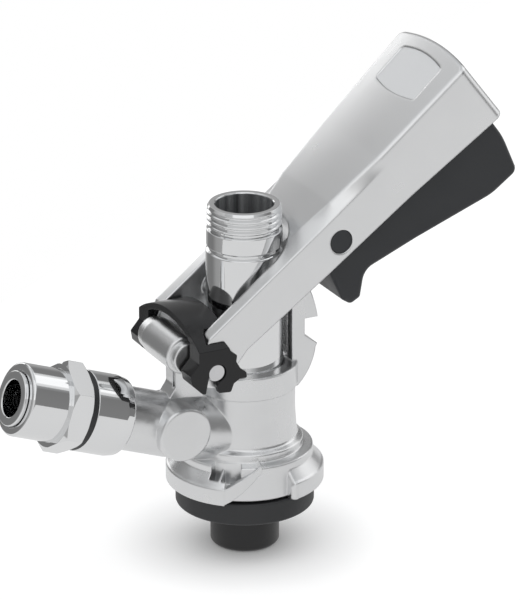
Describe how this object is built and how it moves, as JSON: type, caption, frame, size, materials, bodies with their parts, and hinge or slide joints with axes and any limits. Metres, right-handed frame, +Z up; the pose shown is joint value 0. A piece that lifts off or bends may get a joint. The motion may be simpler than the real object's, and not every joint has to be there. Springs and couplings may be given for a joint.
{
  "type": "keg coupler",
  "caption": "Lever-operated keg coupler with bayonet flange, sliding beer probe, gas inlet arm with push-in fitting, relief valve and squeeze trigger that frees the lever.",
  "frame": {"origin": "on the probe axis, in the plane of the body washer's lower face that seals on the keg valve", "axes": "+Z up along the probe towards the beer outlet, +X towards the grip of the lever, -X towards the gas arm, -Y the side nearest the camera"},
  "size_m": [0.1671, 0.047, 0.1521],
  "materials": {
    "cast_chrome": "bright plated casting",
    "turned_chrome": "polished",
    "lever_metal": "satin",
    "steel": "polished",
    "latch_steel": "polished",
    "black_plastic": "fine grain",
    "clip_plastic": "fine grain",
    "black_rubber": "matt",
    "foot_rubber": "matt",
    "seal_rubber": "matt",
    "valve_rubber": "matt",
    "plate_plastic": "gloss",
    "ball_plastic": "smooth"
  },
  "bodies": {
    "body": {"coupler_body": "cast_chrome", "body_washer": "black_rubber", "hinge_pin": "steel", "hinge_clip": "clip_plastic", "relief_cap": "turned_chrome", "relief_spring": "steel", "gas_sleeve": "turned_chrome", "gas_check_valve": "valve_rubber", "gas_gasket": "seal_rubber", "push_in_body": "turned_chrome", "tube_seal": "seal_rubber"},
    "lever": {"lever_handle": "lever_metal", "name_plate": "plate_plastic", "trigger_pin": "steel", "pin_caps": "black_plastic", "trigger_spring": "steel"},
    "trigger": {"trigger": "black_plastic"},
    "latch": {"latch_bolt": "latch_steel"},
    "probe": {"probe_tube": "turned_chrome", "drive_pins": "steel", "probe_oring": "seal_rubber", "probe_foot": "foot_rubber", "ball_cage": "steel"},
    "beer_ball": {"check_ball": "ball_plastic"},
    "relief": {"relief_ball": "steel"},
    "collet": {"push_in_collet": "turned_chrome"}
  },
  "joints": [
    {"name": "lever_swing", "type": "hinge", "parent": "body", "child": "lever", "pos_m": [-0.0195, 0, 0.053], "axis": [0, 1, 0], "range_deg": [0, 32]},
    {"name": "probe_drive", "type": "slide", "parent": "body", "child": "probe", "axis": [0, 0, -1], "range_m": [0, 0.0135]},
    {"name": "trigger_squeeze", "type": "hinge", "parent": "lever", "child": "trigger", "pos_m": [0.02342, 0, 0.08691], "axis": [0, -1, 0], "range_deg": [0, 8], "stiffness_Nm_per_rad": 0.6, "springref_deg": -14.32},
    {"name": "latch_draw", "type": "slide", "parent": "lever", "child": "latch", "axis": [0.788, 0, 0.6157], "range_m": [0, 0.00165]},
    {"name": "collet_push", "type": "slide", "parent": "body", "child": "collet", "axis": [0.9397, 0, -0.342], "range_m": [0, 0.0009], "stiffness_N_per_m": 300, "springref_m": -0.001},
    {"name": "relief_lift", "type": "slide", "parent": "body", "child": "relief", "axis": [0, 1, 0], "range_m": [0, 0.0006], "stiffness_N_per_m": 500, "springref_m": -0.002},
    {"name": "ball_lift", "type": "slide", "parent": "probe", "child": "beer_ball", "axis": [0, 0, 1], "range_m": [0, 0.0035]}
  ],
  "couplings": [
    {"joint": "probe_drive", "follows": "lever_swing", "m_per_rad": 0.02417},
    {"joint": "latch_draw", "follows": "trigger_squeeze", "m_per_rad": 0.011}
  ]
}
